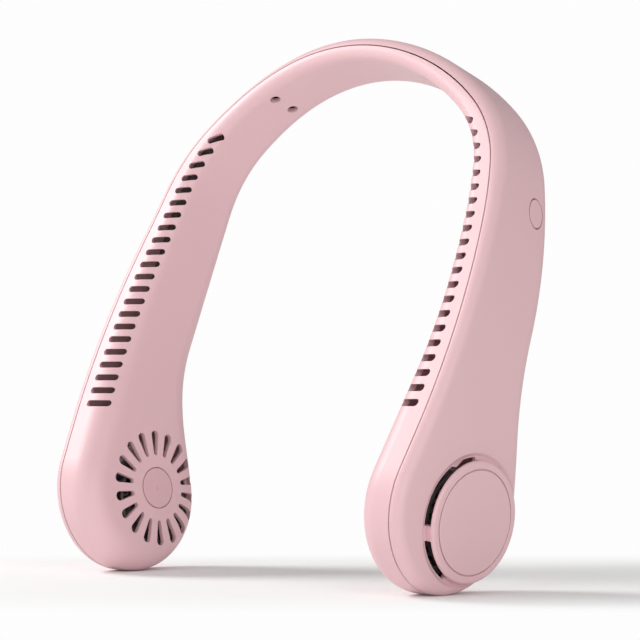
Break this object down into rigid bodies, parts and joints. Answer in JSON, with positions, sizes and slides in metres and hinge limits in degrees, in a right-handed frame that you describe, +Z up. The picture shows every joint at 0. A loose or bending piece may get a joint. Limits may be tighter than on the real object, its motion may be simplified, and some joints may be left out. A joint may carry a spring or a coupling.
{
  "type": "neck fan",
  "caption": "Horseshoe neck fan: hollow band with air slots along its front rim, fan pods with grilles at both ends, raised caps with side intakes and a push button on one arm.",
  "frame": {"origin": "under the middle of the bounding box, on the floor that the pods touch", "axes": "+Z up, +X to the right as seen from the front, +Y to the back, towards the nape"},
  "size_m": [0.182, 0.0894, 0.1975],
  "materials": {
    "shell_pink": "satin",
    "cap_disc": "satin",
    "badge": "satin",
    "button_pink": "satin",
    "impeller": "satin",
    "rotor_steel": "brushed",
    "magnet": "matte",
    "shaft_steel": "polished",
    "core_steel": "matte",
    "copper": "satin",
    "bracket": "matte",
    "bronze": "satin",
    "board": "satin",
    "screw_steel": "satin",
    "duct_plastic": "matte",
    "cell_foil": "satin",
    "foam": "matte",
    "plunger": "matte",
    "switch": "satin",
    "chips": "matte",
    "socket_steel": "satin",
    "lead_red": "satin",
    "lead_black": "satin"
  },
  "bodies": {
    "housing": {"left_cap_disc": "cap_disc", "right_cap_disc": "cap_disc", "left_grille_badge": "badge", "right_grille_badge": "badge", "left_stator_core": "core_steel", "right_stator_core": "core_steel", "left_coils": "copper", "right_coils": "copper", "left_motor_bracket": "bracket", "right_motor_bracket": "bracket", "left_bush": "bronze", "right_bush": "bronze", "left_motor_board": "board", "right_motor_board": "board", "left_motor_screws": "screw_steel", "right_motor_screws": "screw_steel", "left_scroll": "duct_plastic", "right_scroll": "duct_plastic", "left_duct_wall": "duct_plastic", "right_duct_wall": "duct_plastic", "left_cell": "cell_foil", "right_cell": "cell_foil", "left_cell_pads": "foam", "right_cell_pads": "foam", "inner_shell": "shell_pink", "outer_shell": "shell_pink", "tact_switch": "switch", "main_board": "board", "board_parts": "chips", "usb_socket": "socket_steel", "left_motor_lead": "lead_red", "left_cell_lead": "lead_black", "right_motor_lead": "lead_red", "shell_screws": "screw_steel"},
    "left_fan": {"left_impeller": "impeller", "left_rotor_can": "rotor_steel", "left_magnet_ring": "magnet", "left_fan_shaft": "shaft_steel"},
    "right_fan": {"right_impeller": "impeller", "right_rotor_can": "rotor_steel", "right_magnet_ring": "magnet", "right_fan_shaft": "shaft_steel"},
    "power_button": {"power_button": "button_pink", "switch_plunger": "plunger"}
  },
  "joints": [
    {"name": "left_fan_spin", "type": "hinge", "parent": "housing", "child": "left_fan", "pos_m": [-0.06581, -0.00924, 0.02674], "axis": [-0.9903, -0.0381, -0.1338], "continuous": true},
    {"name": "right_fan_spin", "type": "hinge", "parent": "housing", "child": "right_fan", "pos_m": [0.06581, -0.00924, 0.02674], "axis": [0.9903, -0.0381, -0.1338], "continuous": true},
    {"name": "power_button_press", "type": "slide", "parent": "housing", "child": "power_button", "axis": [-0.9857, -0.0462, -0.162], "range_m": [0, 0.0005], "stiffness_N_per_m": 400}
  ]
}
